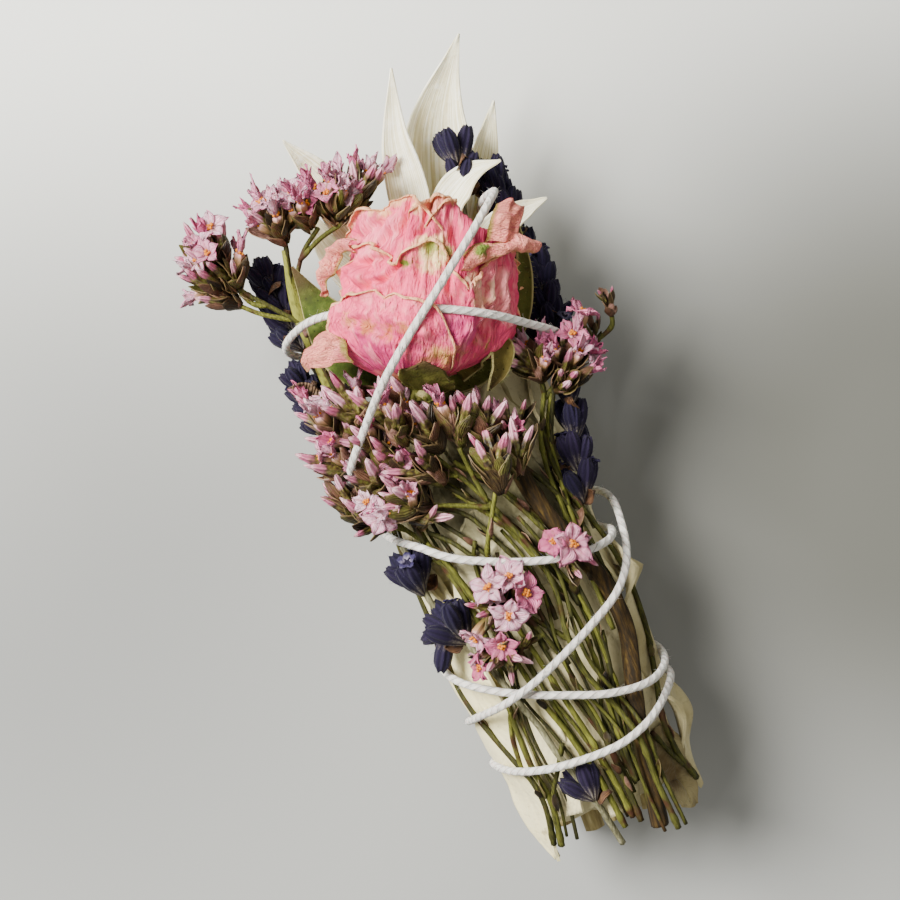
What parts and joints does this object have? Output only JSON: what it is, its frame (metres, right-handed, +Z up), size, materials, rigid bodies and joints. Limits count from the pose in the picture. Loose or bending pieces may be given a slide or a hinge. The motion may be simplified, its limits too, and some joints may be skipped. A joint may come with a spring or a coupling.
{
  "type": "sage smudge stick",
  "caption": "Pressed bundle of white sage leaves dressed with a dried rose, pink statice and lavender, wound with cotton string, lying on its back.",
  "frame": {"origin": "on the surface it lies on, at the middle of the flat spot under the pressed leaves", "axes": "+Y along the stick from its cut end to its flowers, +X to the right as seen from the front, +Z up through the front"},
  "size_m": [0.0602, 0.1224, 0.0415],
  "materials": {
    "string": "matt twisted cotton with loose fibres",
    "sage_leaf": "matt, dry and softly felted",
    "rose_petal": "dry crumpled petal, faint silky sheen",
    "rose_green": "matt dry bark and downy green",
    "statice": "papery, matt",
    "lavender": "matt, downy",
    "dry_leaf": "matt, brittle"
  },
  "bodies": {
    "root": {"string": "string", "rose_stem": "rose_green", "rose_bloom": "rose_petal", "statice_spray_1": "statice", "statice_spray_2": "statice", "statice_spray_3": "statice", "statice_spray_4": "statice", "statice_spray_5": "statice", "statice_spray_6": "statice", "statice_spray_7": "statice", "statice_spray_8": "statice", "lavender_sprig_1": "lavender", "lavender_sprig_2": "lavender", "lavender_sprig_3": "lavender", "lavender_sprig_4": "lavender", "lavender_sprig_5": "lavender", "lavender_sprig_6": "lavender", "lavender_sprig_7": "lavender", "dry_leaf_1": "dry_leaf", "sage_tip_leaf_1": "sage_leaf", "sage_tip_leaf_2": "sage_leaf", "sage_tip_leaf_3": "sage_leaf", "sage_tip_leaf_4": "sage_leaf", "sage_tip_leaf_5": "sage_leaf", "sage_tip_leaf_6": "sage_leaf", "sage_tip_leaf_7": "sage_leaf", "sage_leaf_1": "sage_leaf", "sage_leaf_2": "sage_leaf", "sage_leaf_3": "sage_leaf", "sage_leaf_4": "sage_leaf", "sage_leaf_5": "sage_leaf", "sage_leaf_6": "sage_leaf", "sage_leaf_7": "sage_leaf", "sage_leaf_8": "sage_leaf", "sage_leaf_9": "sage_leaf", "sage_leaf_10": "sage_leaf", "sage_bundle": "sage_leaf"}
  },
  "joints": []
}
